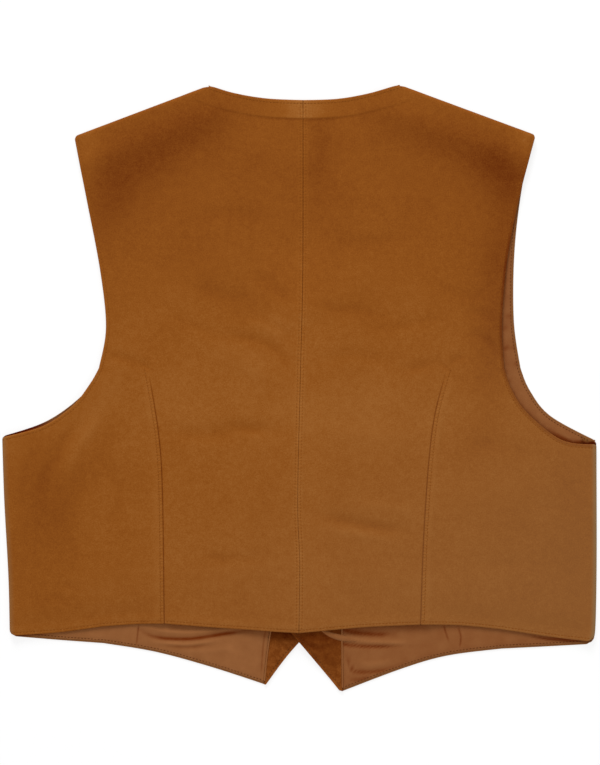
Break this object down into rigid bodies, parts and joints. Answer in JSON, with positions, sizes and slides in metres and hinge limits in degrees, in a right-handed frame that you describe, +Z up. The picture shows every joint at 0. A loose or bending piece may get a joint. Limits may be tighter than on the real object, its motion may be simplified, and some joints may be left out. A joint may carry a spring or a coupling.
{
  "type": "leather vest",
  "caption": "Cropped suede vest laid flat and face down: seamed and darted back over pointed, lined fronts that lap and button beneath.",
  "frame": {"origin": "under the middle of the vest's outline, on the surface that it lies on", "axes": "+Z up from that surface, +Y towards the neck, +X towards the wearer's right side"},
  "size_m": [0.5355, 0.5457, 0.0109],
  "materials": {
    "suede": "matte tan suede with a short nap",
    "suede_inside": "matte dark tan suede",
    "lining": "light brown satin with a soft sheen",
    "button": "dark brown, horn-like"
  },
  "bodies": {
    "root": {"back_left": "suede", "back_right": "suede", "front_left": "suede", "front_right": "suede", "facing_left": "suede_inside", "facing_right": "suede_inside", "lining_left": "lining", "lining_right": "lining", "button_1": "button", "button_2": "button", "button_3": "button", "button_4": "button"}
  },
  "joints": []
}
